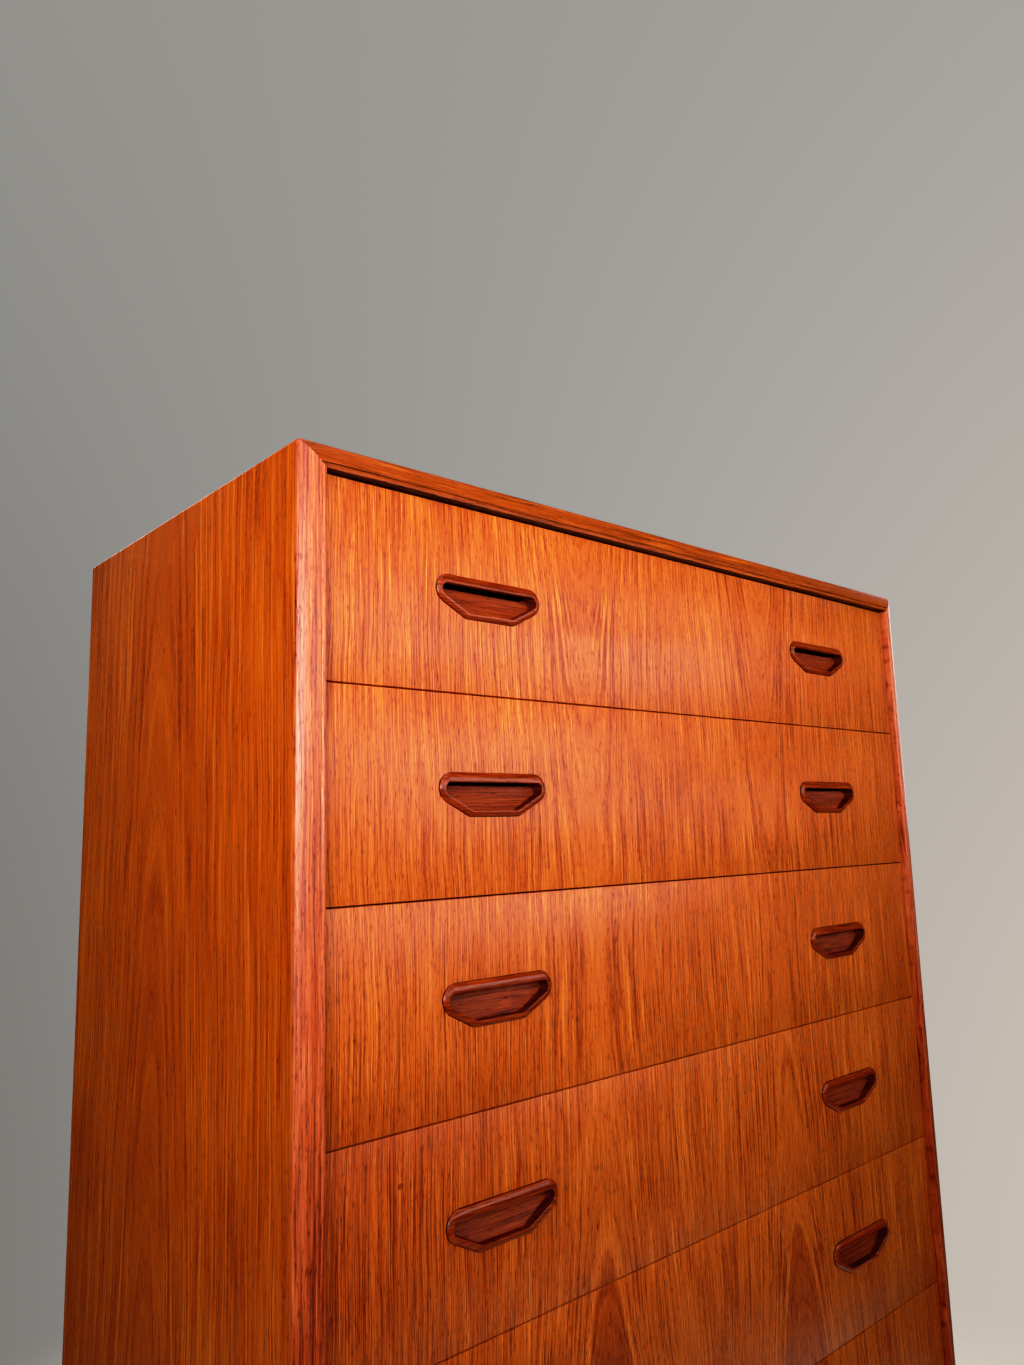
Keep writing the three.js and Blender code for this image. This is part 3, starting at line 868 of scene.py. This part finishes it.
bm = bmesh.new()
bmesh.ops.create_grid(bm, x_segments=8, y_segments=8, size=2.5)
floor_mesh = bpy.data.meshes.new("floor")
bm.to_mesh(floor_mesh)
bm.free()
floor = bpy.data.objects.new("floor", floor_mesh)
bpy.context.scene.collection.objects.link(floor)
floor_mesh.materials.append(pale_floor())


def area_light(name, place, target, size, power, colour, spread=180.0):
    light = bpy.data.lights.new(name, "AREA")
    light.shape = "RECTANGLE"
    light.size, light.size_y = size
    light.energy = power
    light.color = colour
    light.spread = math.radians(spread)
    lamp = bpy.data.objects.new(name, light)
    lamp.location = place
    aim = Vector(target) - Vector(place)
    lamp.rotation_euler = aim.to_track_quat("-Z", "Y").to_euler()
    lamp.visible_camera = False
    bpy.context.scene.collection.objects.link(lamp)


SOFT_WHITE = (1.0, 0.97, 0.93)
area_light("left", (-1.6, -1.3, 1.2), (-0.4, -0.15, 1.12), (1.0, 0.5), 1.75, SOFT_WHITE, 56.0)
area_light("left_high", (-1.6, -1.3, 1.25), (-0.4, -0.15, 1.2), (1.0, 0.5), 0.7, SOFT_WHITE, 50.0)
area_light("side", (-1.45, -0.7, 1.0), (-0.43, -0.12, 0.93), (0.6, 0.6), 1.0, SOFT_WHITE, 70.0)
area_light("front", (-0.25, -1.55, 1.2), (-0.1, -0.2, 1.12), (1.6, 0.45), 1.3, SOFT_WHITE, 66.0)
area_light("front_right", (0.3, -1.55, 1.25), (0.3, -0.2, 1.2), (1.6, 0.45), 0.5, SOFT_WHITE, 50.0)
area_light("above", (-0.6, -1.0, 1.75), (-0.3, -0.2, 1.0), (0.8, 0.6), 2.6, SOFT_WHITE)
area_light("behind", (0.5, 2.1, 1.9), (0.0, 0.25, 0.65), (1.8, 1.2), 9.0, SOFT_WHITE, 100.0)
area_light("far_side", (1.9, 0.35, 1.3), (0.43, 0.05, 0.7), (1.0, 1.0), 3.5, SOFT_WHITE, 90.0)
area_light("overhead", (0.0, 0.1, 2.8), (0.0, 0.1, 0.0), (3.2, 3.2), 15.0, SOFT_WHITE, 40.0)
area_light("right", (0.66, -1.5, 1.1), (-0.3, -0.2, 1.0), (1.0, 0.45), 1.4, SOFT_WHITE, 76.0)


BACKDROP_ACROSS = (0.75, -0.66, 0.0)   # to the right, seen by the photo's camera
BACKDROP_AHEAD = (0.664, 0.748, 0.0)
BACKDROP_LEFT = -0.46                  # further left the backdrop gets no darker
BACKDROP_BLEND = (0.3, 0.64)           # it turns from the even tone to the photo's gradient
EVEN_TONE = 0.43
BACKDROP_GREYS = [
    (0.18, (0.18, 0.168, 0.16)),
    (0.28, (0.28, 0.275, 0.262)),
    (0.385, (0.385, 0.365, 0.345)),
    (0.55, (0.55, 0.50, 0.445)),
]
DIM_LIGHT = (0.09, 0.062, 0.036, 1.0)


def studio_world():
    """Pale backdrop behind the chest; the light it gives is a dim, even one."""
    world = bpy.data.worlds.new("studio")
    world.use_nodes = True
    w = NodeTree(world.node_tree)
    backdrop = w.tree.nodes["Background"]
    dim = w.add("ShaderNodeBackground", {0: DIM_LIGHT})
    place = w.add("ShaderNodeTexCoord").outputs["Generated"]

    def along(direction):
        node = w.add("ShaderNodeVectorMath", {0: place, 1: direction}, operation="DOT_PRODUCT")
        return node.outputs["Value"]

    # Painted light and shade of a wall: lighter to the right, darker low on the left
    across = w.math("MAXIMUM", along(BACKDROP_ACROSS), BACKDROP_LEFT)
    up = w.add("ShaderNodeSeparateXYZ", {0: place}).outputs[2]
    slope = w.scale(up, -0.236, 0.238)
    gradient = w.math("MULTIPLY_ADD", across, slope, w.scale(up, -0.036, 0.349))
    ahead = along(BACKDROP_AHEAD)
    even = w.step(ahead, *BACKDROP_BLEND, EVEN_TONE, 0.0)
    kept = w.step(ahead, *BACKDROP_BLEND)
    tone = w.math("MULTIPLY_ADD", gradient, kept, even)
    w.put(backdrop.inputs[0], w.ramp(tone, BACKDROP_GREYS))
    path = w.add("ShaderNodeLightPath")
    inputs = {0: path.outputs["Is Camera Ray"], 1: dim.outputs[0], 2: backdrop.outputs[0]}
    mixed = w.add("ShaderNodeMixShader", inputs)
    w.put(w.tree.nodes["World Output"].inputs[0], mixed.outputs[0])
    return world


TONE_CURVE = ((0.018, 0.005), (0.06, 0.034), (0.16, 0.125), (0.35, 0.37), (0.62, 0.72))
TONE_CURVE_END = (1.0, 0.96)

scene = bpy.context.scene
scene.world = studio_world()
scene.view_settings.view_transform = "Standard"
scene.view_settings.use_curve_mapping = True
curve = scene.view_settings.curve_mapping.curves[3]
for place in TONE_CURVE:
    curve.points.new(*place)
curve.points[-1].location = TONE_CURVE_END
scene.view_settings.curve_mapping.update()

CAMERA_PLACE = (-0.71346, -0.76191, 0.84021)   # metres
CAMERA_YAW = math.radians(-41.603)
CAMERA_PITCH = math.radians(8.792)
CAMERA_ROLL = math.radians(-1.585)
CAMERA_LENS = 25.88                            # mm, on a 36 mm sensor

forward = Vector((
    -math.sin(CAMERA_YAW) * math.cos(CAMERA_PITCH),
    math.cos(CAMERA_YAW) * math.cos(CAMERA_PITCH),
    math.sin(CAMERA_PITCH),
))
level = Vector((math.cos(CAMERA_YAW), math.sin(CAMERA_YAW), 0.0))
upward = level.cross(forward)
right = math.cos(CAMERA_ROLL) * level + math.sin(CAMERA_ROLL) * upward
up = math.cos(CAMERA_ROLL) * upward - math.sin(CAMERA_ROLL) * level
turn = Matrix((right, up, -forward)).transposed()
lens = bpy.data.cameras.new("camera")
lens.lens = CAMERA_LENS
lens.sensor_width = 36.0
lens.clip_start = 0.01
camera = bpy.data.objects.new("camera", lens)
camera.matrix_world = Matrix.Translation(CAMERA_PLACE) @ turn.to_4x4()
scene.collection.objects.link(camera)
scene.camera = camera
